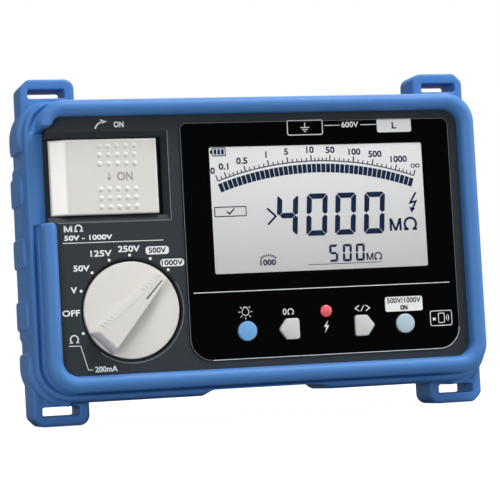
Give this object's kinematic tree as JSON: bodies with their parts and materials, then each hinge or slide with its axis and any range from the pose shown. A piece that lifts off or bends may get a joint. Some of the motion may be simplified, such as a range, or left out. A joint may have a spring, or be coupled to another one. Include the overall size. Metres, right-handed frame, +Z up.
{
  "type": "insulation resistance tester",
  "caption": "Hand-held insulation resistance tester in a blue strap-loop protector, with display, range knob, measuring lever, buttons and two test sockets.",
  "frame": {"origin": "middle of the footprint, on the surface that the two lower strap loops stand on", "axes": "+X to the panel's right, -Y out of the panel towards the user, +Z up the panel"},
  "size_m": [0.1922, 0.0466, 0.1374],
  "materials": {
    "protector_blue": "satin moulded elastomer",
    "case_charcoal": "fine moulded texture",
    "fascia_black": "gloss, printed from behind",
    "window_clear": "clear",
    "lcd_grey": "satin polariser",
    "light_guide": "white",
    "ivory": "satin",
    "button_blue": "satin",
    "button_grey": "satin",
    "button_slate": "satin",
    "lamp_red": "clear red lens",
    "black_plastic": "moulded",
    "index_black": "moulded",
    "board_green": "solder mask",
    "strip_rubber": "matt",
    "screw_steel": "zinc plated",
    "contact_brass": "nickel-free turned brass",
    "ferrite": "sintered core with tape",
    "film_brown": "dipped",
    "relay_white": "moulded",
    "cell_can": null
  },
  "bodies": {
    "tester": {"protector": "protector_blue", "front_case": "case_charcoal", "rear_case": "case_charcoal", "case_screws": "screw_steel", "fascia_plate": "fascia_black", "lcd_window": "window_clear", "lcd_panel": "lcd_grey", "backlight_panel": "light_guide", "lcd_frame": "light_guide", "lcd_connector": "strip_rubber", "main_board": "board_green", "board_screws": "screw_steel", "warning_led": "lamp_red", "tact_switches": "black_plastic", "lever_pin": "screw_steel", "lever_switch": "black_plastic", "detent_ring": "relay_white", "terminal_block": "black_plastic", "earth_socket": "contact_brass", "line_socket": "contact_brass", "hv_transformer": "ferrite", "hv_capacitors": "film_brown", "relay": "relay_white", "buzzer": "black_plastic", "battery_1": "cell_can", "battery_2": "cell_can", "battery_3": "cell_can", "battery_4": "cell_can", "battery_contacts": "screw_steel"},
    "knob": {"range_knob": "ivory", "knob_index": "index_black", "switch_shaft": "screw_steel", "switch_rotor": "black_plastic", "wiper_contacts": "contact_brass", "detent_spring": "screw_steel"},
    "lever": {"measure_lever": "ivory"},
    "backlight_key": {"backlight_button": "button_blue"},
    "zero_adjust_key": {"zero_adjust_button": "button_grey"},
    "comparator_key": {"comparator_button": "button_grey"},
    "release_key": {"release_button": "button_slate"},
    "battery_lid": {"battery_cover": "case_charcoal", "battery_cover_screws": "screw_steel"}
  },
  "joints": [
    {"name": "range_turn", "type": "hinge", "parent": "tester", "child": "knob", "pos_m": [-0.0555, -0.01525, 0.0439], "axis": [0, -1, 0], "range_deg": [0, 157.5]},
    {"name": "lever_lift", "type": "hinge", "parent": "tester", "child": "lever", "pos_m": [-0.0466, -0.01125, 0.0965], "axis": [0, 0, 1], "range_deg": [-3.5, 24]},
    {"name": "backlight_press", "type": "slide", "parent": "tester", "child": "backlight_key", "axis": [0, 1, 0], "range_m": [0, 0.001], "stiffness_N_per_m": 800, "springref_m": -0.0005},
    {"name": "zero_adjust_press", "type": "slide", "parent": "tester", "child": "zero_adjust_key", "axis": [0, 1, 0], "range_m": [0, 0.001], "stiffness_N_per_m": 800, "springref_m": -0.0005},
    {"name": "comparator_press", "type": "slide", "parent": "tester", "child": "comparator_key", "axis": [0, 1, 0], "range_m": [0, 0.001], "stiffness_N_per_m": 800, "springref_m": -0.0005},
    {"name": "release_press", "type": "slide", "parent": "tester", "child": "release_key", "axis": [0, 1, 0], "range_m": [0, 0.001], "stiffness_N_per_m": 800, "springref_m": -0.0005},
    {"name": "battery_lid_lift", "type": "slide", "parent": "tester", "child": "battery_lid", "axis": [0, 1, 0], "range_m": [0, 0.03]}
  ]
}
